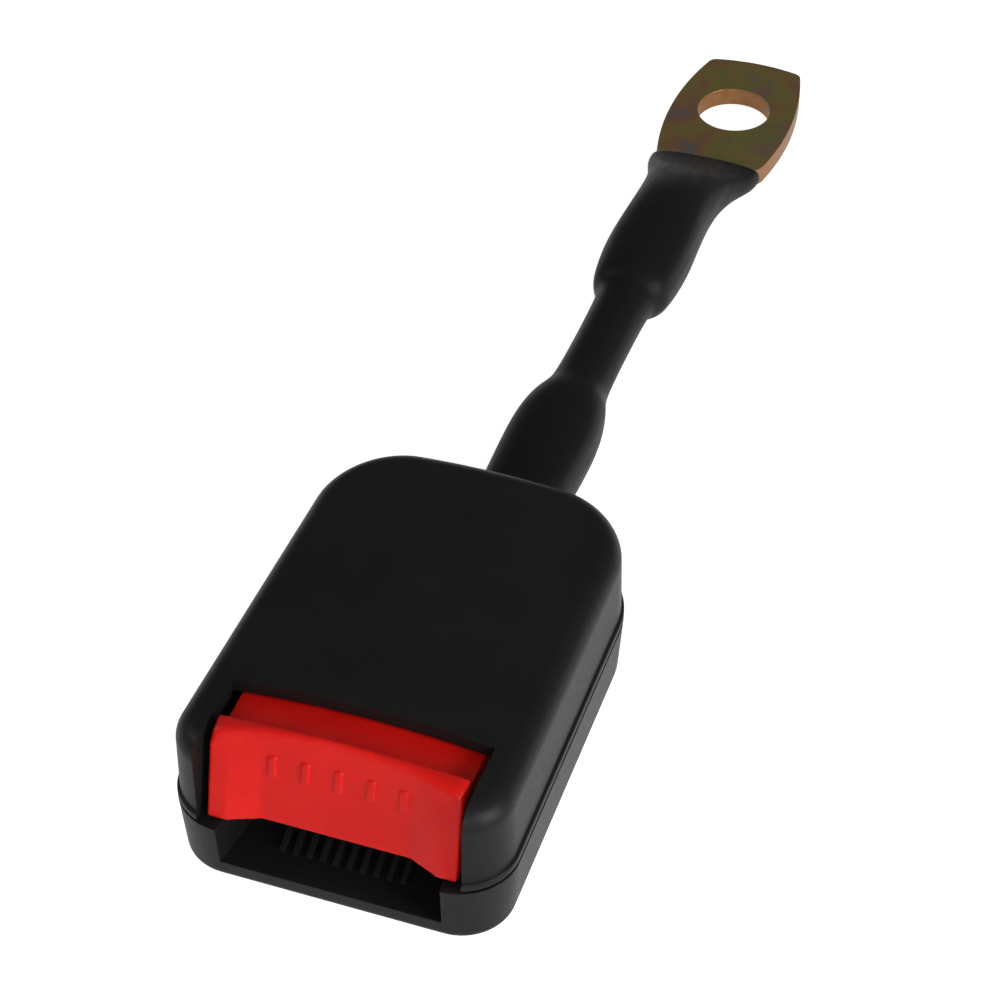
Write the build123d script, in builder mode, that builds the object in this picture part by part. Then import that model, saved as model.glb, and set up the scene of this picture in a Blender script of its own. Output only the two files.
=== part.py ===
# Seat belt buckle on a sleeved wire rope stalk with a flat bolt-on anchor lug.
# Millimetres. The origin is the centre of the bolt hole on the underside of the lug.
# +Z is up, the stalk runs along Y and the press button faces -Y.
import os
from math import atan2, degrees, radians, sqrt, tan

from build123d import *

os.makedirs("parts", exist_ok=True)

# Casing
casing_width = 45.0
casing_length = 61.2
casing_height = 23.2
parting_height = 9.4
seam_gap = 0.5
wall = 2.0
roof = 2.0
floor_thickness = 2.4
front_corner = 7.5
rear_corner = 12.0
rear_taper = 1.0
bead_height = 1.0
bead_step = 0.35
bead_radius = 0.3
cover_draft = 1.0
crown_rise = 1.2
top_edge_radius = 3.2
base_inset = 0.7
base_drop = 0.5
base_edge_radius = 1.4

# Button window in the top cover and tongue mouth in the base cover
cheek_width = 5.15
notch_width = casing_width - 2 * cheek_width
notch_depth = 13.1
mouth_cheek = 7.7
mouth_width = casing_width - 2 * mouth_cheek
mouth_floor = 2.5
mouth_depth = 9.0
mouth_lead = 1.3
comb_ribs = 10
comb_pitch = 1.8
comb_width = 0.8
comb_start = 4.6

# Stalk: bolt hole to casing front, wire rope and its heat-shrunk sleeve
front_to_hole = 178.0
stalk_height = 6.8
rope_radius = 3.2
sleeve_wall = 0.8
sleeve_clearance = 0.05
barrel_reach = 29.8
crimp_reach = 39.7
tail_run = 18.0
tail_flat = 14.0

# Anchor lug
lug_thickness = 3.0
hole_radius = 6.0
lug_half_width = 10.1
lug_tip = 14.3
lug_tip_half = 7.7
lug_neck_half = 8.5
lug_corner = 1.6
lug_shoulder = 1.8
lug_step = 1.8

# Steel frame and guide plate around the tongue slot
plate_thickness = 2.0
tongue_gap = 3.2
frame_underside = 3.2
frame_front = mouth_depth + 1.0
frame_rear = casing_length - 4.7
slot_half = 3.2
running_gap = 0.3

# Press button
button_travel = 5.0
button_clearance = 0.9
button_width = notch_width - 2 * button_clearance
button_front = 1.4
button_lean = 3.3
ridge_setback = 1.7
ridge_depth = 0.6
trough_depth = 1.7
foot_width = 2.45
trough_margin = 6.65
head_rear = 8.0
neck_margin = 1.45
neck_wall = 1.6
neck_roof = 2.2
ramp_angle = 29.2

# Levels and widths worked out from the sizes above
front = -front_to_hole
rear = front + casing_length
cavity_top = casing_height - roof
cavity_half = casing_width / 2 - bead_step - wall
crown_radius = ((notch_width / 2) ** 2 + crown_rise**2) / (2 * crown_rise)
frame_floor = frame_underside + plate_thickness
guide_underside = frame_floor + tongue_gap
guide_top = guide_underside + plate_thickness
base_top = parting_height - seam_gap
channel_margin = 7.15
channel_half = cavity_half - channel_margin
frame_half = channel_half + plate_thickness
ejector_half = channel_half - 4.0
terminal_half = 0.85 * channel_half
rivet_offset = 0.54 * channel_half
seat_rail = channel_half - 1.0

# Latch on its cross pin
pin_from_front = 0.588 * casing_length
pin_height = guide_top + 3.0
pin_radius = 1.5
pin_fit = 0.05
eye_radius = 2.6
eye_width = 3.4
latch_thickness = 2.0
latch_half = channel_half - 0.6
latch_nose = 0.343 * casing_length
tooth_half = 0.42 * channel_half
tooth_depth = 2.6
tooth_tip = 4.4
wing_reach = 10.0
wing_width = 4.0
latch_underside = pin_height - latch_thickness / 2
latch_top = pin_height + latch_thickness / 2

# Button, slider, ejector and springs placed by what is around them
button_bottom = parting_height
button_ridge = casing_height - 0.25
neck_top = cavity_top - 0.5
neck_half = button_width / 2 - neck_margin
neck_rear = 0.239 * casing_length
arm_rear = 0.327 * casing_length
guide_front = head_rear + button_travel + running_gap
slider_underside = guide_top + running_gap
slider_top = latch_underside - running_gap
wing_edge = pin_from_front - wing_reach
ramp_rise = button_travel * tan(radians(ramp_angle))
ramp_start = wing_edge - button_travel
ramp_land = 2.5
ramp_back = 3.0
ejector_front = 0.397 * casing_length
ejector_length = 0.142 * casing_length
rivet_radius = 2.5
terminal_overlap = 10.0
rivet_from_front = frame_rear - terminal_overlap / 2
terminal_front = frame_rear - terminal_overlap
spring_offset = cavity_half - 4.55
spring_height = cavity_top - 4.6
post_station = 0.507 * casing_length
post_reach = 2.8
latch_spring_station = 0.466 * casing_length


def station(distance):
    """Y of a place measured back from the front of the casing."""
    return front + distance


def level(height):
    """Horizontal plane at a height above the lug's underside."""
    return Plane.XY.offset(height)


def upright(distance, height=0.0):
    """Plane across the buckle; its extrusions run towards the rear."""
    return Plane(origin=(0, station(distance), height), x_dir=(-1, 0, 0), z_dir=(0, 1, 0))


def crown_drop(distance):
    """How far the crowned roof has fallen at a distance from the middle."""
    return crown_radius - sqrt(crown_radius**2 - distance**2)


def casing_plan(inset, clip=0.0):
    """Casing outline seen from above, drawn in by an inset and cut off in front."""
    half = casing_width / 2 - inset
    with BuildSketch() as plan:
        with BuildLine():
            Polyline(
                (-half, front + inset),
                (half, front + inset),
                (half - rear_taper, rear - inset),
                (rear_taper - half, rear - inset),
                close=True,
            )
        make_face()
        front_corners = plan.vertices().group_by(Axis.Y)[0]
        fillet(front_corners, front_corner - inset)
        rear_corners = plan.vertices().group_by(Axis.Y)[-1]
        fillet(rear_corners, rear_corner - inset)
        if clip:
            with Locations((0, front)):
                Rectangle(2 * casing_width, 2 * clip, mode=Mode.SUBTRACT)
    return plan.sketch


def stalk_section(distance, half_width, half_height, centre, flat_share, corner):
    """Crimped section across the stalk: flat top and bottom, pointed rounded sides."""
    flat = flat_share * half_width
    with BuildSketch(upright(distance, centre)) as section:
        with BuildLine():
            Polyline(
                (half_width, 0),
                (flat, half_height),
                (-flat, half_height),
                (-half_width, 0),
                (-flat, -half_height),
                (flat, -half_height),
                close=True,
            )
        make_face()
        fillet(section.vertices(), corner)
    return section.sketch


def box_between(x_range, y_range, z_range, mode=Mode.ADD):
    """Block between two limits along each axis, added to the part being built."""
    size = [high - low for low, high in (x_range, y_range, z_range)]
    middle = [(high + low) / 2 for low, high in (x_range, y_range, z_range)]
    with Locations(tuple(middle)):
        Box(*size, mode=mode)


def finish(piece, name):
    """Label a finished piece and write its file."""
    piece.part.label = name
    export_step(piece.part, f"parts/{name}.step")


# The lug plate climbs from its seat to the height of the stalk
plate_rise = stalk_height - lug_thickness / 2
tail_start = front_to_hole - tail_flat
tail_end = tail_start - tail_run
tail_slope = plate_rise / tail_run


def tail_centre(distance):
    """Mid-height of the lug plate where it climbs from the seat to the stalk."""
    return lug_thickness / 2 + max(0.0, tail_start - distance) * tail_slope


rope_cover = rope_radius + sleeve_wall
rope_wide = 1.13 * rope_cover
rope_round = 0.85 * rope_cover
sleeve_start = frame_rear + 1.0
sleeve_end = front_to_hole - 17.3
barrel_stations = [casing_length + share * barrel_reach for share in (0.497, 0.765, 1.0, 1.22)]
crimp_stations = [sleeve_end - share * crimp_reach for share in (1.063, 1.0, 0.8, 0.52, 0.295, 0.145, 0.063)]
barrel_stops = (frame_rear + 0.5, *barrel_stations[:3], barrel_stations[2] + 3.0)
anchor_stops = (*crimp_stations[1:4], crimp_stations[3] + 6.0)
rope_start = frame_rear + 9.5
rope_end = crimp_stations[3]
tail_half = 1.3 * rope_cover

# Sleeve: distance, half width, half height, centre height, share of flat top, corner radius
sleeve_sections = [
    (sleeve_start, 1.46 * rope_cover, 1.35 * rope_cover, stalk_height, 0.6, 1.6),
    (barrel_stations[0], 1.6 * rope_cover, 1.37 * rope_cover, stalk_height, 0.6, 1.7),
    (barrel_stations[1], 1.69 * rope_cover, 1.37 * rope_cover, stalk_height, 0.6, 1.7),
    (barrel_stations[2], 1.48 * rope_cover, 1.32 * rope_cover, stalk_height, 0.6, 1.9),
    (barrel_stations[3], rope_wide, rope_cover, stalk_height, 0.57, rope_round),
    (crimp_stations[0], rope_wide, rope_cover, stalk_height, 0.57, rope_round),
    (crimp_stations[1], 1.54 * rope_cover, 1.3 * rope_cover, stalk_height, 0.6, 1.8),
    (crimp_stations[2], 1.74 * rope_cover, 1.37 * rope_cover, stalk_height, 0.6, 1.7),
    (crimp_stations[3], 1.61 * rope_cover, 1.32 * rope_cover, stalk_height, 0.6, 1.7),
    (crimp_stations[4], 1.67 * rope_cover, 1.1 * rope_cover, tail_centre(crimp_stations[4]), 0.64, 1.6),
    (crimp_stations[5], 1.95 * rope_cover, 0.83 * rope_cover, tail_centre(crimp_stations[5]), 0.8, 1.2),
    (crimp_stations[6], 2.2 * rope_cover, 0.65 * rope_cover, tail_centre(crimp_stations[6]), 0.92, 1.0),
    (sleeve_end, 2.2 * rope_cover, 0.6 * rope_cover, tail_centre(sleeve_end), 0.94, 1.0),
]


def sleeve_at(distance, inset):
    """Section of the sleeve at a station, drawn in by an inset."""
    before = sleeve_sections[0]
    after = before
    for section in sleeve_sections:
        before, after = after, section
        if section[0] >= distance:
            break
    span = after[0] - before[0]
    share = (distance - before[0]) / span if span else 0.0
    width, height, centre, flat, corner = (a + (b - a) * share for a, b in zip(before[1:], after[1:]))
    return stalk_section(distance, width - inset, height - inset, centre, flat, corner - 0.7 * inset)


def stalk_passage():
    """Opening in the rear walls of both covers, a running gap larger than the sleeve."""
    inside = frame_rear + 0.1
    with BuildPart() as passage:
        extrude(sleeve_at(casing_length, -running_gap), amount=1.0)
        extrude(sleeve_at(casing_length, -running_gap), amount=inside - casing_length)
    return passage.part


def crowned_block(height):
    """Everything under a crowned surface that is this high at the middle of the buckle."""
    edge = height - crown_drop(casing_width)
    with BuildPart() as block:
        with BuildSketch(Plane.XZ.offset(-rear)):
            with BuildLine():
                crown = ThreePointArc((-casing_width, edge), (0, height), (casing_width, edge))
                Polyline(crown @ 1, (casing_width, -roof), (-casing_width, -roof), crown @ 0)
            make_face()
        extrude(amount=2 * casing_length, both=True)
    return block.part


def roof_space():
    """Hollow of the top cover under its crowned roof, with a post left behind each return spring."""
    with BuildPart() as space:
        with BuildSketch(level(parting_height)):
            add(casing_plan(bead_step + wall, clip=notch_depth))
        extrude(amount=cavity_top - parting_height, taper=cover_draft)
        box_between(
            (-notch_width / 2, notch_width / 2),
            (station(notch_depth - 1.0), station(notch_depth + 1.0)),
            (parting_height, cavity_top),
        )
        add(crowned_block(cavity_top), mode=Mode.INTERSECT)
        for side in (-1, 1):
            box_between(
                sorted((side * (spring_offset - 2.2), side * casing_width / 2)),
                (station(post_station), station(post_station + 1.4)),
                (spring_height - post_reach, casing_height),
                Mode.SUBTRACT,
            )
    return space.part


# Top cover: drafted, crowned shell with the button window, spring seats and snap hooks
hook_stations = (0.327 * casing_length, 0.752 * casing_length)
hook_width = 5.0
hook_thickness = 1.2
hook_reach = 4.6
hook_barb = 0.5
hook_face = cavity_half - 1.2
hook_root = parting_height + 3.0
peg_radius = 1.5
clip_place = frame_half + 0.3
clip_thickness = 0.6
groove_radius = 1.1

with BuildPart() as top_cover:
    with BuildSketch(level(parting_height)):
        add(casing_plan(0))
    extrude(amount=bead_height)
    fillet(top_cover.faces().sort_by(Axis.Z)[-1].edges(), bead_radius)
    with BuildSketch(level(parting_height)):
        add(casing_plan(bead_step))
    extrude(amount=casing_height - parting_height, taper=cover_draft)
    add(crowned_block(casing_height), mode=Mode.INTERSECT)
    fillet(top_cover.faces().sort_by(Axis.Z)[-1].edges(), top_edge_radius)
    add(roof_space(), mode=Mode.SUBTRACT)
    box_between(
        (-notch_width / 2, notch_width / 2),
        (front - wall, station(notch_depth)),
        (parting_height - wall, casing_height + wall),
        Mode.SUBTRACT,
    )
    for side in (-1, 1):
        for place in hook_stations:
            box_between(
                sorted((side * (hook_face - hook_thickness), side * hook_face)),
                (station(place) - hook_width / 2, station(place) + hook_width / 2),
                (hook_reach, hook_root),
            )
            box_between(
                sorted((side * (hook_face - hook_thickness), side * (cavity_half + 0.3))),
                (station(place) - hook_width / 2, station(place) + hook_width / 2),
                (hook_root - 1.4, hook_root),
            )
            with BuildSketch(Plane.XZ.offset(-station(place) - hook_width / 2)):
                with BuildLine():
                    Polyline(
                        (side * hook_face, hook_reach),
                        (side * (hook_face + hook_barb), hook_reach + 1.6),
                        (side * hook_face, hook_reach + 1.6),
                        close=True,
                    )
                make_face()
            extrude(amount=hook_width)
    with Locations((0, station(latch_spring_station), cavity_top - 0.9)):
        Cylinder(peg_radius, 1.8)
    add(stalk_passage(), mode=Mode.SUBTRACT)
finish(top_cover, "top_cover")


# Base cover: tongue mouth with its comb of lead-in ribs, seats for the frame, hook ledges
base_depth = base_top + base_drop
base_draft = degrees(atan2(base_inset, base_depth))
floor_inset = base_inset * (base_top - floor_thickness) / base_depth + wall

with BuildPart() as base_cover:
    with BuildSketch(level(-base_drop)):
        add(casing_plan(base_inset))
    extrude(amount=base_depth, taper=-base_draft)
    fillet(base_cover.faces().sort_by(Axis.Z)[0].edges(), base_edge_radius)
    with BuildSketch(level(floor_thickness)):
        add(casing_plan(floor_inset, clip=mouth_depth + 1.0))
    extrude(amount=base_top, taper=-base_draft, mode=Mode.SUBTRACT)
    with BuildSketch(level(mouth_floor)):
        with BuildLine():
            Polyline(
                (-mouth_width / 2, front - 1.0),
                (mouth_width / 2, front - 1.0),
                (mouth_width / 2, front),
                (mouth_width / 2 - mouth_lead, station(mouth_depth)),
                (mouth_lead - mouth_width / 2, station(mouth_depth)),
                (-mouth_width / 2, front),
                close=True,
            )
        make_face()
    extrude(amount=base_top, mode=Mode.SUBTRACT)
    # Comb of ribs that climbs from the mouth floor to the tongue slot
    for place in range(comb_ribs):
        middle = (place - (comb_ribs - 1) / 2) * comb_pitch
        with BuildSketch(Plane.YZ.offset(middle)):
            with BuildLine():
                Polyline(
                    (station(comb_start), mouth_floor - 0.2),
                    (station(comb_start), mouth_floor + 0.3),
                    (station(frame_front - running_gap), frame_floor - 0.1),
                    (station(frame_front - running_gap), mouth_floor - 0.2),
                    close=True,
                )
            make_face()
        extrude(amount=comb_width / 2, both=True)
    # Rails that carry the frame
    for side in (-1, 1):
        box_between(
            (side * seat_rail - 0.7, side * seat_rail + 0.7),
            (station(frame_front), station(frame_rear)),
            (floor_thickness, frame_underside),
        )
        # Ledges that the cover's hooks catch under
        for place in hook_stations:
            box_between(
                sorted((side * (hook_face + running_gap), side * (hook_face + 1.6))),
                (station(place) - hook_width / 2, station(place) + hook_width / 2),
                (hook_reach + 1.6 + running_gap, base_top - 0.6),
            )
    add(stalk_passage(), mode=Mode.SUBTRACT)
finish(base_cover, "base_cover")

# Steel frame: channel with the tongue slot floor, side walls and ears for the cross pin
ear_half_length = eye_radius + 0.6
ear_top = min(pin_height + ear_half_length, cavity_top - crown_drop(frame_half) - running_gap)

with BuildPart() as frame:
    with BuildSketch(level(frame_underside)) as frame_plan:
        with Locations((0, station((frame_front + frame_rear) / 2))):
            RectangleRounded(2 * frame_half, frame_rear - frame_front, 2.0)
    extrude(amount=guide_underside - frame_underside)
    box_between(
        (-channel_half, channel_half),
        (front, rear),
        (frame_floor, guide_underside + 1.0),
        Mode.SUBTRACT,
    )
    for side in (-1, 1):
        with BuildSketch(Plane.YZ.offset(side * (channel_half + plate_thickness / 2))):
            with Locations((station(pin_from_front), pin_height)):
                Circle(ear_half_length)
                Rectangle(2 * ear_half_length, 2 * ear_top, align=(Align.CENTER, Align.MAX))
            with Locations((station(pin_from_front), (frame_floor + ear_top) / 2)):
                Rectangle(2 * ear_half_length, ear_top - frame_floor, mode=Mode.INTERSECT)
        extrude(amount=plate_thickness / 2, both=True)
    with BuildSketch(Plane.YZ):
        with Locations((station(pin_from_front), pin_height)):
            Circle(pin_radius)
    extrude(amount=frame_half + 1.0, both=True, mode=Mode.SUBTRACT)
    # Window for the latch tooth, slot for the ejector spring and rivet holes
    box_between(
        (-tooth_half - 0.5, tooth_half + 0.5),
        (station(latch_nose - 0.9), station(latch_nose + tooth_depth + 0.5)),
        (frame_underside - 1.0, frame_floor + 1.0),
        Mode.SUBTRACT,
    )
    with BuildSketch(level(frame_underside - 1.0)):
        with Locations((0, station((ejector_front + ejector_length + terminal_front) / 2))):
            Rectangle(2 * slot_half, terminal_front - ejector_front - ejector_length)
        with Locations((0, station(rivet_from_front))):
            with GridLocations(2 * rivet_offset, 1, 2, 1):
                Circle(rivet_radius)
    extrude(amount=plate_thickness + 2.0, mode=Mode.SUBTRACT)
    front_edges = frame.edges().filter_by(Axis.X).filter_by_position(
        Axis.Z, frame_floor - 0.01, frame_floor + 0.01
    )
    chamfer(front_edges.sort_by(Axis.Y)[0], 0.8)
finish(frame, "frame")

# Guide plate: roof of the tongue slot, notched around the frame's ears
with BuildPart() as guide_plate:
    with BuildSketch(level(guide_underside)) as guide_plan:
        with Locations((0, station((guide_front + frame_rear) / 2))):
            RectangleRounded(2 * frame_half, frame_rear - guide_front, 2.0)
        with Locations((0, station(pin_from_front))):
            with GridLocations(2 * channel_half + plate_thickness, 1, 2, 1):
                Rectangle(plate_thickness + 0.6, 2 * ear_half_length + 0.4, mode=Mode.SUBTRACT)
        with Locations((0, station(latch_nose + tooth_depth / 2 - 1.0))):
            Rectangle(2 * tooth_half + 1.0, tooth_depth + 4.0, mode=Mode.SUBTRACT)
        with Locations((0, station((ejector_front + 1.0 + terminal_front) / 2))):
            Rectangle(2 * slot_half, terminal_front - ejector_front - 1.0, mode=Mode.SUBTRACT)
        with Locations((0, station(rivet_from_front))):
            with GridLocations(2 * rivet_offset, 1, 2, 1):
                Circle(rivet_radius, mode=Mode.SUBTRACT)
    extrude(amount=plate_thickness)
    lead_edges = guide_plate.edges().filter_by(Axis.X).group_by(Axis.Z)[0]
    chamfer(lead_edges.sort_by(Axis.Y)[0], 0.8)
finish(guide_plate, "guide_plate")

# Rivets through frame, cable terminal and guide plate
rivet_head = 3.8
for name, side in (("rivet_left", -1), ("rivet_right", 1)):
    with BuildPart() as rivet:
        with BuildSketch(Plane.XZ.offset(-station(rivet_from_front))):
            with BuildLine():
                Polyline(
                    (0, frame_underside - 0.7),
                    (rivet_head - 0.5, frame_underside - 0.7),
                    (rivet_head - 0.3, frame_underside),
                    (rivet_radius, frame_underside),
                    (rivet_radius, guide_top),
                    (rivet_head, guide_top),
                    (rivet_head - 0.6, guide_top + 1.2),
                    (0, guide_top + 1.5),
                    close=True,
                )
            make_face()
        revolve(axis=Axis((0, station(rivet_from_front), 0), (0, 0, 1)))
    rivet_piece = rivet.part.moved(Location((side * rivet_offset, 0, 0)))
    rivet_piece.label = name
    export_step(rivet_piece, f"parts/{name}.step")

# Latch: plate swinging on the cross pin, tooth bent down in front, release wings at the sides
with BuildPart() as latch:
    with BuildSketch(level(latch_underside)):
        with BuildLine():
            Polyline(
                (wing_width - latch_half, station(latch_nose)),
                (latch_half - wing_width, station(latch_nose)),
                (latch_half - wing_width, station(wing_edge)),
                (latch_half, station(wing_edge)),
                (latch_half, station(pin_from_front)),
                (latch_half - eye_width, station(pin_from_front)),
                (latch_half - eye_width, station(pin_from_front - eye_radius)),
                (eye_width - latch_half, station(pin_from_front - eye_radius)),
                (eye_width - latch_half, station(pin_from_front)),
                (-latch_half, station(pin_from_front)),
                (-latch_half, station(wing_edge)),
                (wing_width - latch_half, station(wing_edge)),
                close=True,
            )
        make_face()
    extrude(amount=latch_thickness)
    with BuildSketch(Plane.YZ):
        with BuildLine():
            Polyline(
                (station(latch_nose), latch_underside + 0.5),
                (station(latch_nose), tooth_tip + 1.6),
                (station(latch_nose + 1.4), tooth_tip),
                (station(latch_nose + tooth_depth), tooth_tip),
                (station(latch_nose + tooth_depth), latch_underside + 0.5),
                close=True,
            )
        make_face()
    extrude(amount=tooth_half, both=True)
    for side in (-1, 1):
        with BuildSketch(Plane.YZ.offset(side * (latch_half - eye_width / 2))):
            with Locations((station(pin_from_front), pin_height)):
                Circle(eye_radius)
        extrude(amount=eye_width / 2, both=True)
    with BuildSketch(Plane.YZ):
        with Locations((station(pin_from_front), pin_height)):
            Circle(pin_radius + pin_fit)
    extrude(amount=latch_half + 1.0, both=True, mode=Mode.SUBTRACT)
    with Locations((0, station(latch_spring_station), latch_top + 0.6)):
        Cylinder(peg_radius, 1.4)
    nose_edges = latch.faces().sort_by(Axis.Y)[0].edges().filter_by(Axis.X).sort_by(Axis.Z)[-1]
    fillet(nose_edges, 1.2)
finish(latch, "latch")

# Cross pin with a head on one side and a groove for its clip on the other
pin_end = frame_half + 1.6
pin_head = 2.5
with BuildPart() as latch_pin:
    with BuildSketch(Plane.XZ.offset(-station(pin_from_front))):
        with BuildLine():
            Polyline(
                (-pin_end, pin_height),
                (-pin_end, pin_height + pin_head - 0.6),
                (-pin_end + 0.4, pin_height + pin_head),
                (-frame_half, pin_height + pin_head),
                (-frame_half, pin_height + pin_radius),
                (clip_place, pin_height + pin_radius),
                (clip_place, pin_height + groove_radius),
                (clip_place + clip_thickness, pin_height + groove_radius),
                (clip_place + clip_thickness, pin_height + pin_radius),
                (pin_end - 0.3, pin_height + pin_radius),
                (pin_end, pin_height + pin_radius - 0.3),
                (pin_end, pin_height),
                close=True,
            )
        make_face()
    revolve(axis=Axis((0, station(pin_from_front), pin_height), (1, 0, 0)))
finish(latch_pin, "latch_pin")

with BuildPart() as pin_clip:
    with BuildSketch(Plane.YZ.offset(clip_place)):
        with Locations((station(pin_from_front), pin_height)):
            Circle(eye_radius + 0.2)
            Circle(groove_radius, mode=Mode.SUBTRACT)
        with Locations((station(pin_from_front), pin_height + eye_radius)):
            Rectangle(1.5 * groove_radius, 2 * eye_radius, mode=Mode.SUBTRACT)
    extrude(amount=clip_thickness)
finish(pin_clip, "pin_clip")

def crowned_profile(points, half_width, height):
    """Side profile run across the buckle and cut off under a crowned surface."""
    with BuildPart() as crowned:
        with BuildSketch(Plane.YZ):
            with BuildLine():
                Polyline(*[(station(distance), z) for distance, z in points], close=True)
            make_face()
        extrude(amount=half_width, both=True)
        add(crowned_block(height), mode=Mode.INTERSECT)
    return crowned.part


def face_line(height, share):
    """Line across the button's face: a trough between two feet below, an arch at the ridge above."""
    half = button_width / 2
    foot = half - foot_width
    trough = half - trough_margin
    with BuildSketch(level(height)) as outline:
        places = [half + 1.0, foot, trough, trough / 2, 0.0, -trough / 2, -trough, -foot, -half - 1.0]
        points = []
        for place in places:
            below = trough_depth if abs(place) <= trough else 0.0
            above = button_lean + ridge_setback * (1 - (place / half) ** 2)
            points.append((place, station(button_front + below + (above - below) * share)))
        with BuildLine():
            Polyline((-half - 1.0, front - 3.0), (half + 1.0, front - 3.0), *points, close=True)
        make_face()
    return outline.sketch.face()


# Press button: leaning, crowned head with a trough at its foot, hollow neck and two spring arms
ridge_rear = button_front + button_lean + ridge_setback + ridge_depth
face_rise = button_ridge - button_bottom
peg_length = 2.0
arm_half = 1.7

with BuildPart() as press_button:
    add(
        crowned_profile(
            [
                (0.0, button_bottom),
                (0.0, button_ridge),
                (ridge_rear, button_ridge),
                (head_rear, neck_top - 1.2),
                (head_rear, button_bottom),
            ],
            button_width / 2,
            button_ridge,
        )
    )
    loft(
        [
            face_line(button_bottom - 0.1 * face_rise, -0.1),
            face_line(button_bottom + 1.1 * face_rise, 1.1),
        ],
        ruled=True,
        mode=Mode.SUBTRACT,
    )
    add(
        crowned_profile(
            [
                (head_rear - 1.0, slider_underside + 0.1),
                (head_rear - 1.0, neck_top),
                (neck_rear, neck_top),
                (neck_rear, slider_underside + 0.1),
            ],
            neck_half,
            neck_top,
        )
    )
    for side in (-1, 1):
        box_between(
            sorted((side * (neck_half - neck_wall), side * (spring_offset + 0.8))),
            (station(head_rear - 1.0), station(arm_rear)),
            (spring_height - arm_half, spring_height + arm_half),
        )
        with BuildSketch(upright(arm_rear)):
            with Locations((-side * spring_offset, spring_height)):
                Circle(peg_radius - 0.1)
        extrude(amount=peg_length)
    with BuildSketch(upright(head_rear)):
        with Locations((0, (slider_underside + neck_top - neck_roof) / 2)):
            Rectangle(2 * (neck_half - neck_wall), neck_top - neck_roof - slider_underside)
    extrude(amount=neck_rear, mode=Mode.SUBTRACT)
finish(press_button, "press_button")

# Release slider: cross bar held in the button, two arms with the ramps that lift the latch
slider_half = latch_half - 0.2
slider_inner = latch_half - eye_width + 0.2
with BuildPart() as release_slider:
    box_between(
        (-slider_half, slider_half),
        (station(head_rear), station(head_rear + 1.8)),
        (slider_underside, neck_top - neck_roof - running_gap),
    )
    for side in (-1, 1):
        with BuildSketch(Plane.YZ.offset(side * (slider_half + slider_inner) / 2)):
            with BuildLine():
                Polyline(
                    (station(head_rear), slider_underside),
                    (station(wing_edge + 0.8), slider_underside),
                    (station(wing_edge + 0.8), slider_top),
                    (station(wing_edge), slider_top),
                    (station(ramp_start), slider_top + ramp_rise),
                    (station(ramp_start - ramp_land), slider_top + ramp_rise),
                    (station(ramp_start - ramp_land - ramp_back), slider_top),
                    (station(head_rear), slider_top),
                    close=True,
                )
            make_face()
        extrude(amount=(slider_half - slider_inner) / 2, both=True)
finish(release_slider, "release_slider")

# Ejector: block in the tongue slot with a guide tab above and a spring peg behind
ejector_clearance = 0.15
spring_seat = ejector_front + ejector_length
with BuildPart() as ejector:
    box_between(
        (-ejector_half, ejector_half),
        (station(ejector_front), station(spring_seat)),
        (frame_floor + ejector_clearance, guide_underside - ejector_clearance),
    )
    box_between(
        (-slot_half + 0.4, slot_half - 0.4),
        (station(ejector_front + 1.4), station(spring_seat - 1.5)),
        (frame_floor + 1.0, guide_top - 0.6),
    )
    with BuildSketch(upright(spring_seat)):
        with Locations((0, stalk_height)):
            Circle(1.4)
    extrude(amount=3.0)
    fillet(ejector.edges().filter_by(Axis.Z).group_by(Axis.Y)[0], 1.2)
finish(ejector, "ejector")


def coil_spring(start, direction, length, outer_radius, wire_radius, pitch):
    """Helical compression spring with its end faces inside its two seats."""
    along = Vector(*direction)
    base = Vector(*start) + along * (wire_radius + 0.05)
    reach = length - 2 * (wire_radius + 0.05)
    turns = max(1, round(reach / pitch))
    with BuildPart() as spring:
        with BuildLine():
            turn = Helix(
                pitch=reach / turns,
                height=reach,
                radius=outer_radius - wire_radius,
                center=base,
                direction=direction,
            )
        with BuildSketch(Plane(origin=turn @ 0, z_dir=turn % 0)):
            RegularPolygon(wire_radius, 6)
        sweep()
    return spring


latch_spring_length = cavity_top - latch_top - 0.1
latch_spring = coil_spring(
    (0, station(latch_spring_station), latch_top), (0, 0, 1), latch_spring_length, 3.4, 0.4, 1.9
)
finish(latch_spring, "latch_spring")

button_spring_length = post_station - arm_rear
for name, side in (("button_spring_left", -1), ("button_spring_right", 1)):
    button_spring = coil_spring(
        (side * spring_offset, station(arm_rear), spring_height),
        (0, 1, 0),
        button_spring_length,
        2.3,
        0.35,
        2.0,
    )
    finish(button_spring, name)

ejector_spring_length = terminal_front - spring_seat
ejector_spring = coil_spring(
    (0, station(spring_seat), stalk_height), (0, 1, 0), ejector_spring_length, 2.8, 0.4, 2.4
)
finish(ejector_spring, "ejector_spring")

# Cable terminal: riveted blade and the barrel crimped on the wire rope
barrel_gap = sleeve_wall + sleeve_clearance
with BuildPart() as cable_terminal:
    box_between(
        (-terminal_half, terminal_half),
        (station(terminal_front), station(frame_rear + 0.6)),
        (frame_floor, guide_underside),
    )
    for start, end in zip(barrel_stops[:-1], barrel_stops[1:]):
        loft([sleeve_at(place, barrel_gap).face() for place in (start, end)], ruled=True)
    with BuildSketch(upright(rope_start)):
        with Locations((0, stalk_height)):
            Circle(rope_radius)
    extrude(amount=casing_length, mode=Mode.SUBTRACT)
    with BuildSketch(level(frame_floor - 1.0)):
        with Locations((0, station(rivet_from_front))):
            with GridLocations(2 * rivet_offset, 1, 2, 1):
                Circle(rivet_radius)
    extrude(amount=tongue_gap + 2.0, mode=Mode.SUBTRACT)
finish(cable_terminal, "cable_terminal")

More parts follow.
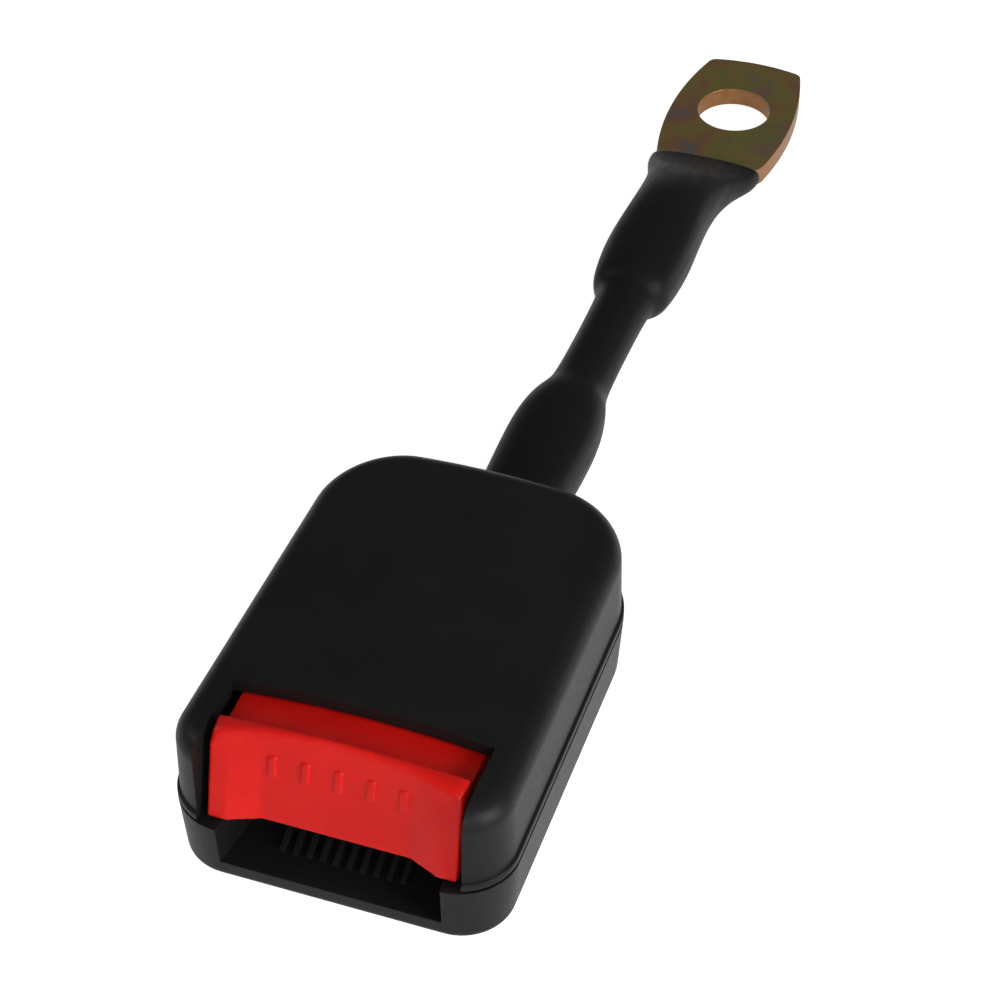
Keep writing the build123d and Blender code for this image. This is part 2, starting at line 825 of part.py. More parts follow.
# Wire rope from the buckle's barrel to the anchor's barrel
with BuildPart() as wire_rope:
    with BuildSketch(upright(rope_start)):
        with Locations((0, stalk_height)):
            Circle(rope_radius)
    extrude(amount=rope_end - rope_start)
finish(wire_rope, "wire_rope")

# Anchor lug: bolt plate, rising tail and the barrel rolled around the wire rope
tip_y = lug_tip - 1.0
neck_y = station(sleeve_end) + lug_shoulder
tail_taper = 5.0
with BuildPart() as anchor_lug:
    with BuildSketch(Plane.YZ):
        with BuildLine():
            Polyline(
                (lug_tip + 1.0, 0),
                (lug_tip + 1.0, lug_thickness),
                (station(tail_start), lug_thickness),
                (station(tail_end), lug_thickness + plate_rise),
                (station(tail_end), plate_rise),
                (station(tail_start), 0),
                close=True,
            )
        make_face()
    extrude(amount=lug_half_width + 1.0, both=True)
    with BuildSketch():
        with BuildLine():
            tip = ThreePointArc((-lug_tip_half, tip_y), (0, lug_tip), (lug_tip_half, tip_y))
            right = ThreePointArc(tip @ 1, (lug_half_width, 0), (lug_neck_half, neck_y))
            tail = Polyline(
                right @ 1,
                (lug_neck_half - lug_step, neck_y - 2 * lug_shoulder),
                (tail_half, station(tail_end + tail_taper)),
                (tail_half, station(tail_end - 1.0)),
                (-tail_half, station(tail_end - 1.0)),
                (-tail_half, station(tail_end + tail_taper)),
                (lug_step - lug_neck_half, neck_y - 2 * lug_shoulder),
                (-lug_neck_half, neck_y),
            )
            ThreePointArc(tail @ 1, (-lug_half_width, 0), tip @ 0)
        make_face()
    extrude(amount=2 * stalk_height, mode=Mode.INTERSECT)
    tip_corners = anchor_lug.edges().filter_by(Axis.Z).group_by(Axis.Y)[-1]
    fillet(tip_corners, lug_corner)
    for start, end in zip(anchor_stops[:-1], anchor_stops[1:]):
        loft([sleeve_at(place, barrel_gap).face() for place in (start, end)], ruled=True)
    with BuildSketch(upright(anchor_stops[0] - 1.0)):
        with Locations((0, stalk_height)):
            Circle(rope_radius)
    extrude(amount=rope_end - anchor_stops[0] + 1.0, mode=Mode.SUBTRACT)
    with Locations((0, 0, lug_thickness)):
        Hole(hole_radius)
finish(anchor_lug, "anchor_lug")

# Heat-shrunk sleeve that follows the barrels, the rope and the tail of the lug
with BuildPart() as stalk_sleeve:
    loft([sleeve_at(section[0], 0.0).face() for section in sleeve_sections], ruled=True)
    loft(
        [sleeve_at(section[0], sleeve_wall).face() for section in sleeve_sections],
        ruled=True,
        mode=Mode.SUBTRACT,
    )
finish(stalk_sleeve, "stalk_sleeve")
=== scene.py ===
# Seat belt buckle on a sleeved wire rope stalk, dressed for the render.
# Metres. The origin is the centre of the bolt hole, on the underside of the anchor lug. The stalk
# runs along +Y from the casing to the lug, and the press button faces -Y.
import math

import bpy
from mathutils import Matrix, Vector


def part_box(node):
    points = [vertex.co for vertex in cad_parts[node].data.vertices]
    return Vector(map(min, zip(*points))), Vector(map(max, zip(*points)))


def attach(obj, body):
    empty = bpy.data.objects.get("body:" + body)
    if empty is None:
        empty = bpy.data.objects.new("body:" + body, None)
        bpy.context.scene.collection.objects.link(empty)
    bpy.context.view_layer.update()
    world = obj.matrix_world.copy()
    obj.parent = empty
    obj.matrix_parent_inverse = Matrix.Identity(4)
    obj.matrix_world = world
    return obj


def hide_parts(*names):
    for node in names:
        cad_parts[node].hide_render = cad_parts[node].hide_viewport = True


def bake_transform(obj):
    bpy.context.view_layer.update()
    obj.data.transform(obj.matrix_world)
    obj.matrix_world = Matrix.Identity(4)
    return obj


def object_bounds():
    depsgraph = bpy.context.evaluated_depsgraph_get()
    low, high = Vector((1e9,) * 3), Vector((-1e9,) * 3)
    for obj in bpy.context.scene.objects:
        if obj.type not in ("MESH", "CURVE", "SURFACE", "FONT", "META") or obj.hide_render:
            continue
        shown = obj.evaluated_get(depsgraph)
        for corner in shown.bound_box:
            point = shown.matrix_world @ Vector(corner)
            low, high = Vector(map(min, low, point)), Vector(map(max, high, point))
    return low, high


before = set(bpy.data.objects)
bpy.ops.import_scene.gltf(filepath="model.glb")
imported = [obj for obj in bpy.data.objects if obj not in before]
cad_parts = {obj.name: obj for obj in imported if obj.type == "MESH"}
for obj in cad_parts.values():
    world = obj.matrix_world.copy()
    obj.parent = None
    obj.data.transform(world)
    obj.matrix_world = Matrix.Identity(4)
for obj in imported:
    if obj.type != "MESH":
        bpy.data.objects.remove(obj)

cad_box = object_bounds()
MM = 0.001
WHITE = (1.0, 1.0, 1.0, 1.0)

# Camera, as the photograph was taken: angles in degrees, lens and sensor in mm
CAMERA_AZIMUTH = -19.92
CAMERA_ELEVATION = 42.21
CAMERA_ROLL = -0.41
CAMERA_DISTANCE = 0.40275
CAMERA_TARGET = Vector((-0.001262, -0.111139, 0.010476))
CAMERA_LENS = 105.402
CAMERA_SENSOR = 36.0
CAMERA_NEAR = 0.01

# Cleaning of a copied solid: points merged below a distance, flat faces joined below an angle
MERGE_DISTANCE = 0.002 * MM
FLAT_DEGREES = 0.4

# Edges flatter than this are shaded smooth. The springs' six-sided wire turns by 60 degrees.
SMOOTH_DEGREES = 60
WIRE_SMOOTH_DEGREES = 62

# Rounding of the press button's edges, and more of it along the ridge at the top of its face
BUTTON_VOXEL = 0.22 * MM
BUTTON_SMOOTHING = 8
RIDGE_SMOOTHING = 120
SMOOTHING_FACTOR = 0.5
RIDGE_BAND = 3.0 * MM
RIDGE_REACH = 6.0 * MM

# Neck behind the button's head: where it starts, its foot, its sides before and after they are
# moved, and how near to its side a point has to lie to be moved
NECK_START = 3.0 * MM
NECK_FOOT = 18.4 * MM
NECK_SIDE = 15.0 * MM
NECK_HALF = 16.1 * MM
NECK_SLACK = 0.1 * MM

# Face of the button: its half width, its distance behind the casing's front, how far it leans
# and is arched at the top, the trough at its foot, and the height over which its slope is taken
FACE_HALF = 16.45 * MM
FACE_FRONT = 1.4 * MM
FACE_LEAN = 3.3 * MM
FACE_SETBACK = 1.7 * MM
FACE_TROUGH = 1.7 * MM
FACE_SLOPE_SPAN = 2.0 * MM

# Bars on the face: each stands out by its rise, and the rest of its depth is sunk in the face
GRIP_COUNT = 5
GRIP_PITCH = 4.3 * MM
GRIP_HEIGHT = 17.7 * MM
GRIP_WIDTH = 1.4 * MM
GRIP_LENGTH = 3.4 * MM
GRIP_DEPTH = 1.0 * MM
GRIP_RISE = 0.28 * MM
GRIP_ROUNDING = 0.45 * MM
GRIP_ROUNDING_STEPS = 4

# Sleeve over the stalk: its sides, the flat sheet that it starts from, the distance below which
# its seam is merged, and its wall, which grows inwards
SLEEVE_SIDES = 20
SLEEVE_SHEET = 10 * MM
SLEEVE_SEAM = 0.01 * MM
SLEEVE_WALL = 0.7 * MM
SLEEVE_WALL_SIDE = -1.0
SLEEVE_SUBDIVISIONS = 2

# Rings of the sleeve, in mm: distance behind the casing's front, half width, half height, height
# of the centre, and fullness, from 0 for an oval towards 1 for a flat top and underside
SLEEVE_RINGS = [
    (57.6, 5.75, 5.3, 6.8, 0.35),
    (58.2, 5.8, 5.35, 6.8, 0.35),
    (66.0, 6.05, 5.4, 6.8, 0.35),
    (76.0, 6.35, 5.45, 6.8, 0.35),
    (84.0, 6.7, 5.45, 6.8, 0.35),
    (89.0, 6.4, 5.4, 6.8, 0.32),
    (93.0, 5.65, 5.0, 6.8, 0.2),
    (95.5, 4.65, 4.2, 6.8, 0.05),
    (98.5, 4.3, 4.0, 6.8, 0.0),
    (104.0, 4.2, 3.95, 6.8, 0.0),
    (112.0, 4.2, 3.95, 6.8, 0.0),
    (118.4, 4.35, 3.98, 6.8, 0.0),
    (119.6, 4.9, 4.3, 6.8, 0.05),
    (120.9, 5.9, 5.05, 6.8, 0.2),
    (123.0, 6.3, 5.3, 6.8, 0.3),
    (129.0, 6.85, 5.42, 6.8, 0.35),
    (135.0, 6.65, 5.35, 6.8, 0.35),
    (141.0, 6.3, 5.15, 6.75, 0.35),
    (146.0, 6.35, 4.65, 6.3, 0.35),
    (150.5, 6.7, 4.1, 5.45, 0.4),
    (154.5, 7.6, 3.35, 4.3, 0.45),
    (157.5, 8.65, 2.75, 3.25, 0.5),
    (159.6, 9.2, 2.45, 2.65, 0.5),
    (161.4, 9.3, 2.25, 2.32, 0.5),
    (162.0, 9.25, 2.2, 2.25, 0.5),
]

# Lug: its flat plate lies beyond this Y, and a face is one of its edges where the face's normal
# rises less than this
LUG_PLATE_END = -20.0 * MM
LUG_EDGE_NORMAL = 0.5

# Colours, linear
COVER_BLACK = (0.009, 0.009, 0.009)
COVER_BLACK_DEEP = (0.008, 0.008, 0.008)
COVER_BLACK_PALE = (0.0105, 0.0105, 0.0102)
BUTTON_RED = (0.6, 0.008, 0.005)
BUTTON_RED_DEEP = (0.57, 0.006, 0.004)
BUTTON_RED_PALE = (0.63, 0.009, 0.006)
INNER_BLACK = (0.014, 0.014, 0.015)
SLEEVE_BLACK = (0.0085, 0.0085, 0.0085)
ZINC_YELLOW = (0.2, 0.13, 0.03)
ZINC_GREY = (0.20, 0.19, 0.18)
ZINC_RUSSET = (0.31, 0.17, 0.10)
ZINC_BROWN = (0.33, 0.20, 0.08)
ZINC_OLIVE = (0.31, 0.24, 0.07)
ZINC_GREEN = (0.25, 0.23, 0.08)
ZINC_ROSE = (0.31, 0.18, 0.13)
SHEARED_ORANGE = (0.31, 0.15, 0.06)
SHEARED_ORANGE_DEEP = (0.31, 0.13, 0.045)
SHEARED_ORANGE_PALE = (0.33, 0.18, 0.075)
PLATED_STEEL = (0.55, 0.54, 0.50)
LATCH_STEEL = (0.38, 0.37, 0.36)
SPRING_STEEL = (0.62, 0.62, 0.62)
ROPE_STEEL = (0.42, 0.43, 0.44)
FLOOR_WHITE = (0.8, 0.8, 0.8)

# Materials: the range of a noise that varies the roughness, how much of its colour the darker
# mottle of a plating keeps, the stretch of the sleeve's streaks along the stalk, the distortion
# of the lug's patches, and the scale of the rope's strands
NOISE_LOW = 0.3
NOISE_HIGH = 0.7
MOTTLE_SHADE = 0.8
STREAK_STRETCH = (1.0, 0.12, 1.0)
PATCH_DISTORTION = 0.4
STRAND_SCALE = 90.0

# Studio
WORLD_STRENGTH = 0.19
FLOOR_SIZE = 6.0
FLOOR_GAP = 0.05 * MM
FLOOR_GLOW = 0.8
FLOOR_GLOW_GLOSSY = 0.6

# Square soft lamps: name, place, point that it is aimed at, side, power in watts
LAMPS = [
    ("right_softbox", (0.85, -0.35, 0.3), (0.0, -0.14, 0.01), 0.5, 8.0),
    ("front_softbox", (0.3, -1.0, 0.36), (0.0, -0.16, 0.015), 0.5, 4.2),
    ("left_softbox", (-0.7, -0.2, 0.5), (0.0, -0.12, 0.01), 0.4, 1.2),
]

# Places read from the CAD nodes
CASING_FRONT = Vector(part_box("base_cover")[0]).y
button_low, button_high = (Vector(corner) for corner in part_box("press_button"))


def material(name, colour, roughness, metallic=0.0, specular=0.5):
    """A material with its plain values on the shader's own sockets."""
    made = bpy.data.materials.new(name)
    made.use_nodes = True
    shader = made.node_tree.nodes["Principled BSDF"]
    shader.inputs["Base Color"].default_value = (*colour, 1.0)
    shader.inputs["Roughness"].default_value = roughness
    shader.inputs["Metallic"].default_value = metallic
    shader.inputs["Specular IOR Level"].default_value = specular
    return made


def node(made, kind, **settings):
    """A node of a kind, with its properties and input values set by name."""
    added = made.node_tree.nodes.new(kind)
    for key, value in settings.items():
        if hasattr(added, key):
            setattr(added, key, value)
        else:
            added.inputs[key.replace("_", " ")].default_value = value
    return added


def join(made, source, output, target, entry):
    """Link an output to an input."""
    made.node_tree.links.new(source.outputs[output], target.inputs[entry])


def grain(made, size, detail, stretch=(1.0, 1.0, 1.0)):
    """Noise of a given size in metres, fixed to the piece."""
    place = node(made, "ShaderNodeTexCoord")
    mapping = node(made, "ShaderNodeMapping", Scale=stretch)
    noise = node(made, "ShaderNodeTexNoise", Scale=1.0 / size, Detail=detail)
    join(made, place, "Object", mapping, "Vector")
    join(made, mapping, "Vector", noise, "Vector")
    return noise


def roughen(made, noise, low, high):
    """Let a noise vary the roughness between two values."""
    span = node(
        made,
        "ShaderNodeMapRange",
        clamp=True,
        From_Min=NOISE_LOW,
        From_Max=NOISE_HIGH,
        To_Min=low,
        To_Max=high,
    )
    join(made, noise, "Fac", span, "Value")
    join(made, span, "Result", made.node_tree.nodes["Principled BSDF"], "Roughness")


def emboss(made, layers, edge=0.0):
    """Stack bumps, pairs of a noise and its height in metres, over softly broken edges."""
    below = node(made, "ShaderNodeBevel", Radius=edge) if edge else None
    for noise, height in layers:
        bump = node(made, "ShaderNodeBump", Distance=height, Strength=1.0)
        join(made, noise, "Fac", bump, "Height")
        if below:
            join(made, below, "Normal", bump, "Normal")
        below = bump
    join(made, below, "Normal", made.node_tree.nodes["Principled BSDF"], "Normal")


def tint(made, noise, stops):
    """Colour a surface by a noise, through a ramp of places and colours."""
    ramp = node(made, "ShaderNodeValToRGB")
    elements = ramp.color_ramp.elements
    while len(elements) < len(stops):
        elements.new(0.5)
    for element, (place, colour) in zip(elements, stops):
        element.position = place
        element.color = (*colour, 1.0)
    join(made, noise, "Fac", ramp, "Fac")
    join(made, ramp, "Color", made.node_tree.nodes["Principled BSDF"], "Base Color")


def cover_plastic():
    """Moulded black plastic with a fine spark-eroded grain."""
    made = material("black_moulded_plastic", COVER_BLACK, roughness=0.42, specular=0.12)
    fine = grain(made, size=0.3 * MM, detail=2.0)
    broad = grain(made, size=9 * MM, detail=2.0)
    tint(made, broad, [(0.3, COVER_BLACK_DEEP), (0.7, COVER_BLACK_PALE)])
    roughen(made, fine, low=0.34, high=0.46)
    emboss(made, [(fine, 0.02 * MM)], edge=0.25 * MM)
    return made


def button_plastic():
    """Satin red moulded plastic."""
    made = material("red_button_plastic", BUTTON_RED, roughness=0.34, specular=0.2)
    soft = grain(made, size=5 * MM, detail=2.0)
    fine = grain(made, size=0.5 * MM, detail=2.0)
    tint(made, soft, [(0.3, BUTTON_RED_DEEP), (0.7, BUTTON_RED_PALE)])
    roughen(made, fine, low=0.3, high=0.4)
    emboss(made, [(fine, 0.004 * MM)])
    return made


def inner_plastic():
    """Plain black plastic of the release slider and the ejector."""
    made = material("inner_black_plastic", INNER_BLACK, roughness=0.45)
    fine = grain(made, size=0.6 * MM, detail=2.0)
    roughen(made, fine, low=0.38, high=0.52)
    emboss(made, [(fine, 0.01 * MM)])
    return made


def shrink_sleeve():
    """Semi-gloss black heat-shrink tube with faint lengthwise streaks."""
    made = material("black_heat_shrink", SLEEVE_BLACK, roughness=0.4, specular=0.08)
    streaks = grain(made, size=1.2 * MM, detail=3.0, stretch=STREAK_STRETCH)
    fine = grain(made, size=0.4 * MM, detail=2.0)
    roughen(made, streaks, low=0.34, high=0.48)
    emboss(made, [(streaks, 0.02 * MM), (fine, 0.006 * MM)])
    return made


def zinc_plate():
    """Yellow chromate over zinc: olive and brown with russet, rose, green and grey patches."""
    made = material("yellow_zinc_plate", ZINC_YELLOW, roughness=0.36, metallic=0.85)
    patches = grain(made, size=7 * MM, detail=2.5)
    patches.inputs["Distortion"].default_value = PATCH_DISTORTION
    fine = grain(made, size=0.5 * MM, detail=3.0)
    stops = [
        (0.30, ZINC_GREY),
        (0.38, ZINC_RUSSET),
        (0.46, ZINC_BROWN),
        (0.54, ZINC_OLIVE),
        (0.62, ZINC_GREEN),
        (0.70, ZINC_ROSE),
    ]
    tint(made, patches, stops)
    roughen(made, fine, low=0.3, high=0.46)
    emboss(made, [(fine, 0.012 * MM)], edge=0.4 * MM)
    return made


def sheared_edge():
    """Deeper orange chromate in the punched hole and on the sheared edges of the lug."""
    made = material("yellow_zinc_sheared_edge", SHEARED_ORANGE, roughness=0.42, metallic=0.8)
    streaks = grain(made, size=1.5 * MM, detail=3.0)
    tint(made, streaks, [(0.35, SHEARED_ORANGE_DEEP), (0.65, SHEARED_ORANGE_PALE)])
    roughen(made, streaks, low=0.36, high=0.5)
    emboss(made, [(streaks, 0.02 * MM)], edge=0.3 * MM)
    return made


def bright_zinc(name, colour, low, high):
    """Zinc-plated steel with a faint mottle, and its lowest and highest roughness."""
    made = material(name, colour, roughness=(low + high) / 2, metallic=1.0)
    mottle = grain(made, size=1.6 * MM, detail=4.0)
    fine = grain(made, size=0.4 * MM, detail=2.0)
    darker = tuple(MOTTLE_SHADE * channel for channel in colour)
    tint(made, mottle, [(0.35, darker), (0.65, colour)])
    roughen(made, mottle, low, high)
    emboss(made, [(fine, 0.006 * MM)])
    return made


def stranded_wire():
    """Galvanised wire with slanting strands."""
    made = material("galvanised_strand", ROPE_STEEL, roughness=0.4, metallic=1.0)
    fine = grain(made, size=0.5 * MM, detail=2.0)
    roughen(made, fine, low=0.35, high=0.5)
    place = node(made, "ShaderNodeTexCoord")
    strands = node(
        made, "ShaderNodeTexWave", bands_direction="DIAGONAL", Scale=STRAND_SCALE
    )
    join(made, place, "Object", strands, "Vector")
    emboss(made, [(strands, 0.15 * MM), (fine, 0.02 * MM)])
    return made


def coat(mesh, made):
    """Give a mesh one material in place of what it had."""
    mesh.materials.clear()
    mesh.materials.append(made)


def dress(made, *names):
    """Give CAD nodes a material."""
    for name in names:
        coat(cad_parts[name].data, made)


def dress_lug_edges(made):
    """Give the lug's hole and the edges of its flat plate a material of their own."""
    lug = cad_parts["anchor_lug"].data
    lug.materials.append(made)
    for face in lug.polygons:
        if abs(face.normal.z) < LUG_EDGE_NORMAL and face.center.y > LUG_PLATE_END:
            face.material_index = 1


def pick(piece):
    """Select one piece alone and make it the active one."""
    bpy.ops.object.select_all(action="DESELECT")
    piece.select_set(True)
    bpy.context.view_layer.objects.active = piece


def from_solid(name, new_name):
    """A cleaned copy of a CAD node's mesh that stands for the node."""
    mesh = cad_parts[name].data.copy()
    piece = bpy.data.objects.new(new_name, mesh)
    bpy.context.collection.objects.link(piece)
    pick(piece)
    bpy.ops.object.mode_set(mode="EDIT")
    bpy.ops.mesh.select_all(action="SELECT")
    bpy.ops.mesh.remove_doubles(threshold=MERGE_DISTANCE)
    bpy.ops.mesh.dissolve_limited(angle_limit=math.radians(FLAT_DEGREES))
    bpy.ops.object.mode_set(mode="OBJECT")
    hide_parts(name)
    return piece


def apply_modifier(piece, kind, **settings):
    """Add a modifier to a piece and apply it."""
    pick(piece)
    modifier = piece.modifiers.new(kind.lower(), kind)
    for key, value in settings.items():
        setattr(modifier, key, value)
    bpy.ops.object.modifier_apply(modifier=modifier.name)


def smooth(piece, degrees=SMOOTH_DEGREES):
    """Smooth shading across edges flatter than an angle."""
    pick(piece)
    bpy.ops.object.shade_smooth_by_angle(angle=math.radians(degrees))


def widen_neck(button):
    """Move the sides of the button's neck out, to where the notch shows them."""
    for vertex in button.data.vertices:
        behind_head = vertex.co.y - button_low.y > NECK_START
        above_foot = vertex.co.z > NECK_FOOT
        on_side = abs(abs(vertex.co.x) - NECK_SIDE) < NECK_SLACK
        if behind_head and above_foot and on_side:
            vertex.co.x = math.copysign(NECK_HALF, vertex.co.x)


def round_ridge(button):
    """Round the top edge of the button's face more, fading out below and behind it."""
    ridge = button.vertex_groups.new(name="ridge")
    for vertex in button.data.vertices:
        depth = (vertex.co.y - button_low.y) / RIDGE_REACH
        drop = (button_high.z - vertex.co.z) / RIDGE_BAND
        if depth < 1 and drop < 1:
            ridge.add([vertex.index], min(1.0, 2 - 2 * drop, 2 - 2 * depth), "REPLACE")
    apply_modifier(
        button,
        "SMOOTH",
        factor=SMOOTHING_FACTOR,
        iterations=RIDGE_SMOOTHING,
        vertex_group="ridge",
    )


def red_button():
    """The press button with its moulded edges rounded."""
    button = from_solid("press_button", "button_moulding")
    widen_neck(button)
    apply_modifier(button, "REMESH", mode="VOXEL", voxel_size=BUTTON_VOXEL)
    apply_modifier(button, "SMOOTH", factor=SMOOTHING_FACTOR, iterations=BUTTON_SMOOTHING)
    round_ridge(button)
    smooth(button)
    coat(button.data, finishes["button"])
    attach(button, "button")


def face_depth(x, z):
    """How far behind the casing's front the button's face is, at a place across and up."""
    share = (z - button_low.z) / (button_high.z - button_low.z)
    arch = FACE_LEAN + FACE_SETBACK * (1 - (x / FACE_HALF) ** 2)
    return FACE_FRONT + FACE_TROUGH + (arch - FACE_TROUGH) * share


def grip_bar():
    """One rounded bar at the origin, its length upwards and its depth along Y."""
    bpy.ops.object.select_all(action="DESELECT")
    bpy.ops.mesh.primitive_cube_add(size=1.0, location=(0, 0, 0))
    bar = bpy.context.object
    size = (GRIP_WIDTH, GRIP_DEPTH, GRIP_LENGTH)
    bpy.ops.object.mode_set(mode="EDIT")
    bpy.ops.mesh.select_all(action="SELECT")
    bpy.ops.transform.resize(value=size, center_override=(0, 0, 0))
    bpy.ops.mesh.bevel(offset=GRIP_ROUNDING, segments=GRIP_ROUNDING_STEPS, affect="EDGES")
    bpy.ops.object.mode_set(mode="OBJECT")
    return bar


def grip_bars():
    """Row of low rounded bars across the upper half of the button's face, partly sunk in it."""
    row = grip_bar()
    bars = [row]
    for _ in range(GRIP_COUNT - 1):
        bar = bpy.data.objects.new(row.name, row.data.copy())
        bpy.context.collection.objects.link(bar)
        bars.append(bar)
    sink = Matrix.Translation((0, GRIP_DEPTH / 2 - GRIP_RISE, 0))
    for place, bar in enumerate(bars):
        x = (place - (GRIP_COUNT - 1) / 2) * GRIP_PITCH
        depth = face_depth(x, GRIP_HEIGHT)
        slope = (face_depth(x, GRIP_HEIGHT + FACE_SLOPE_SPAN) - depth) / FACE_SLOPE_SPAN
        turn = Matrix.Rotation(-math.atan(slope), 4, "X")
        move = Matrix.Translation((x, CASING_FRONT + depth, GRIP_HEIGHT))
        bar.data.transform(move @ turn @ sink)
    pick(row)
    for bar in bars:
        bar.select_set(True)
    bpy.ops.object.join()
    row.name = "button_grip_bars"
    smooth(row)
    coat(row.data, finishes["button"])
    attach(row, "button")


def flexing_spring(name, new_name, axis):
    """A cleaned, smoothly shaded copy of a spring. The places of its held and pressed ends along
    an axis are worked out, but nothing uses them.
    """
    spring = from_solid(name, new_name)
    smooth(spring, WIRE_SMOOTH_DEGREES)
    low, high = (Vector(corner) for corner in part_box(name))
    held, pressed = (low + high) / 2, (low + high) / 2
    held[axis], pressed[axis] = high[axis], low[axis]
    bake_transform(spring)


def sleeve_ring(half_width, half_height, fullness):
    """Points around the sleeve: an oval, flatter above and below as its fullness rises."""
    ring = []
    for step in range(SLEEVE_SIDES + 1):
        angle = 2 * math.pi * step / SLEEVE_SIDES
        across, up = math.cos(angle), math.sin(angle)
        lift = math.copysign(abs(up) ** (1 - fullness), up)
        ring.append((half_width * across, half_height * lift))
    return ring


def shrink_tube():
    """The heat-shrunk sleeve, drawn smoothly over the barrels, the rope and the lug's tail."""
    bpy.ops.object.select_all(action="DESELECT")
    bpy.ops.mesh.primitive_grid_add(
        x_subdivisions=SLEEVE_SIDES, y_subdivisions=len(SLEEVE_RINGS) - 1, size=SLEEVE_SHEET
    )
    tube = bpy.context.object
    tube.name = "stalk_shrink_tube"
    points = []
    for distance, half_width, half_height, centre, fullness in SLEEVE_RINGS:
        for across, up in sleeve_ring(half_width * MM, half_height * MM, fullness):
            points.append((across, CASING_FRONT + distance * MM, centre * MM + up))
    for vertex, point in zip(tube.data.vertices, points):
        vertex.co = point
    bpy.ops.object.mode_set(mode="EDIT")
    bpy.ops.mesh.select_all(action="SELECT")
    bpy.ops.mesh.remove_doubles(threshold=SLEEVE_SEAM)
    bpy.ops.mesh.normals_make_consistent(inside=False)
    bpy.ops.object.mode_set(mode="OBJECT")
    apply_modifier(tube, "SOLIDIFY", thickness=SLEEVE_WALL, offset=SLEEVE_WALL_SIDE)
    apply_modifier(
        tube, "SUBSURF", levels=SLEEVE_SUBDIVISIONS, render_levels=SLEEVE_SUBDIVISIONS
    )
    smooth(tube)
    coat(tube.data, finishes["sleeve"])
    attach(tube, "casing")
    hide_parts("stalk_sleeve")


def floor():
    """Plain white floor, with a glow that only the camera and reflections see."""
    height = cad_box[0][2] - FLOOR_GAP
    bpy.ops.object.select_all(action="DESELECT")
    bpy.ops.mesh.primitive_plane_add(size=FLOOR_SIZE, location=(0, 0, height))
    ground = bpy.context.object
    ground.name = "studio_floor"
    made = material("studio_floor_white", FLOOR_WHITE, roughness=0.9, specular=0.1)
    shader = made.node_tree.nodes["Principled BSDF"]
    glow = node(made, "ShaderNodeEmission", Color=WHITE, Strength=FLOOR_GLOW)
    sight = node(made, "ShaderNodeLightPath")
    bright = node(made, "ShaderNodeAddShader")
    shown = node(made, "ShaderNodeMixShader")
    glossy = node(made, "ShaderNodeMath", operation="MULTIPLY")
    glossy.inputs[1].default_value = FLOOR_GLOW_GLOSSY
    seen = node(made, "ShaderNodeMath", operation="MAXIMUM")
    join(made, shader, "BSDF", bright, 0)
    join(made, glow, "Emission", bright, 1)
    join(made, sight, "Is Glossy Ray", glossy, 0)
    join(made, sight, "Is Camera Ray", seen, 0)
    join(made, glossy, "Value", seen, 1)
    join(made, seen, "Value", shown, "Fac")
    join(made, shader, "BSDF", shown, 1)
    join(made, bright, "Shader", shown, 2)
    join(made, shown, "Shader", made.node_tree.nodes["Material Output"], "Surface")
    ground.data.materials.append(made)


def studio_light():
    """Soft lamps: a broad one on the right, one before the button, a weaker one on the left."""
    for name, place, aim, side, power in LAMPS:
        lamp = bpy.data.lights.new(name, "AREA")
        lamp.shape = "SQUARE"
        lamp.size = side
        lamp.energy = power
        holder = bpy.data.objects.new(name, lamp)
        holder.location = place
        towards = Vector(aim) - Vector(place)
        holder.rotation_euler = towards.to_track_quat("-Z", "Y").to_euler()
        bpy.context.collection.objects.link(holder)


def world_light():
    """Even surroundings of low strength that show white to the camera only."""
    world = bpy.data.worlds.new("studio_world")
    bpy.context.scene.world = world
    world.use_nodes = True
    dim = world.node_tree.nodes["Background"]
    dim.inputs["Color"].default_value = WHITE
    dim.inputs["Strength"].default_value = WORLD_STRENGTH
    white = node(world, "ShaderNodeBackground", Color=WHITE, Strength=1.0)
    sight = node(world, "ShaderNodeLightPath")
    shown = node(world, "ShaderNodeMixShader")
    join(world, sight, "Is Camera Ray", shown, "Fac")
    join(world, dim, "Background", shown, 1)
    join(world, white, "Background", shown, 2)
    join(world, shown, "Shader", world.node_tree.nodes["World Output"], "Surface")


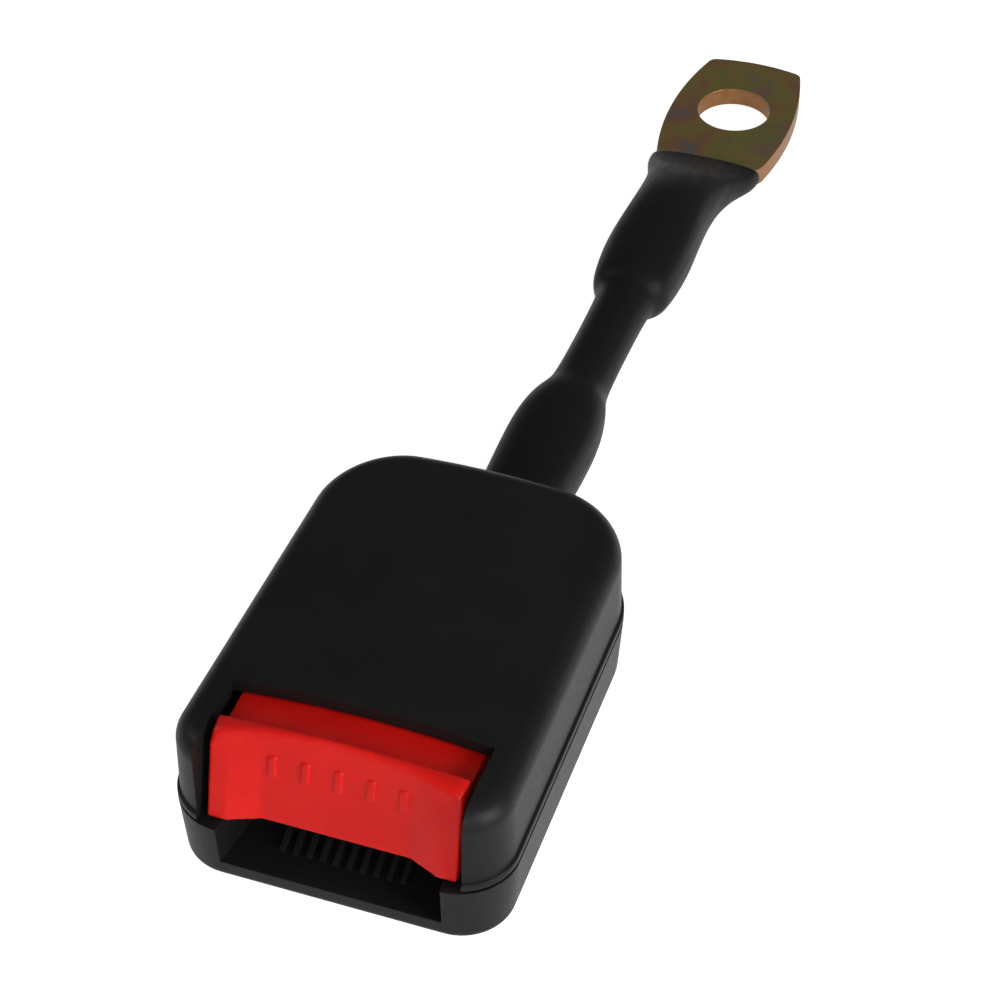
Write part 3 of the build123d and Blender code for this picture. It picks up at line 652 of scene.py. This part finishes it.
def photo_camera():
    """Camera at the photograph's angle."""
    azimuth = math.radians(CAMERA_AZIMUTH)
    elevation = math.radians(CAMERA_ELEVATION)
    forward = Vector(
        (
            math.sin(azimuth) * math.cos(elevation),
            math.cos(azimuth) * math.cos(elevation),
            -math.sin(elevation),
        )
    )
    right = forward.cross(Vector((0, 0, 1))).normalized()
    above = right.cross(forward)
    roll = math.radians(CAMERA_ROLL)
    across = math.cos(roll) * right + math.sin(roll) * above
    upward = math.cos(roll) * above - math.sin(roll) * right
    lens = bpy.data.cameras.new("photo_camera")
    lens.lens = CAMERA_LENS
    lens.sensor_width = CAMERA_SENSOR
    lens.sensor_fit = "HORIZONTAL"
    lens.clip_start = CAMERA_NEAR
    holder = bpy.data.objects.new("photo_camera", lens)
    stand = Matrix.Translation(CAMERA_TARGET - CAMERA_DISTANCE * forward)
    turn = Matrix((across, upward, -forward)).transposed().to_4x4()
    holder.matrix_world = stand @ turn
    bpy.context.collection.objects.link(holder)
    bpy.context.scene.camera = holder


finishes = {
    "cover": cover_plastic(),
    "button": button_plastic(),
    "inner": inner_plastic(),
    "sleeve": shrink_sleeve(),
    "lug": zinc_plate(),
    "lug edge": sheared_edge(),
    "frame": bright_zinc("zinc_plated_steel", PLATED_STEEL, low=0.25, high=0.4),
    "latch": bright_zinc("hardened_latch_steel", LATCH_STEEL, low=0.28, high=0.42),
    "spring": bright_zinc("spring_wire", SPRING_STEEL, low=0.2, high=0.32),
    "rope": stranded_wire(),
}
dress(finishes["cover"], "top_cover", "base_cover")
dress(finishes["inner"], "release_slider", "ejector")
dress(finishes["frame"], "frame", "guide_plate")
dress(finishes["latch"], "latch")
dress(finishes["spring"], "latch_pin", "pin_clip", "rivet_left", "rivet_right")
dress(finishes["spring"], "button_spring_left", "button_spring_right")
dress(finishes["spring"], "latch_spring", "ejector_spring")
dress(finishes["lug"], "cable_terminal", "anchor_lug")
dress(finishes["rope"], "wire_rope")
dress_lug_edges(finishes["lug edge"])

red_button()
grip_bars()
flexing_spring("button_spring_left", "left_button_spring", axis=1)
flexing_spring("button_spring_right", "right_button_spring", axis=1)
flexing_spring("ejector_spring", "ejector_return_spring", axis=1)
flexing_spring("latch_spring", "latch_return_spring", axis=2)
shrink_tube()
floor()
studio_light()
world_light()
photo_camera()
bpy.context.scene.view_settings.view_transform = "Standard"
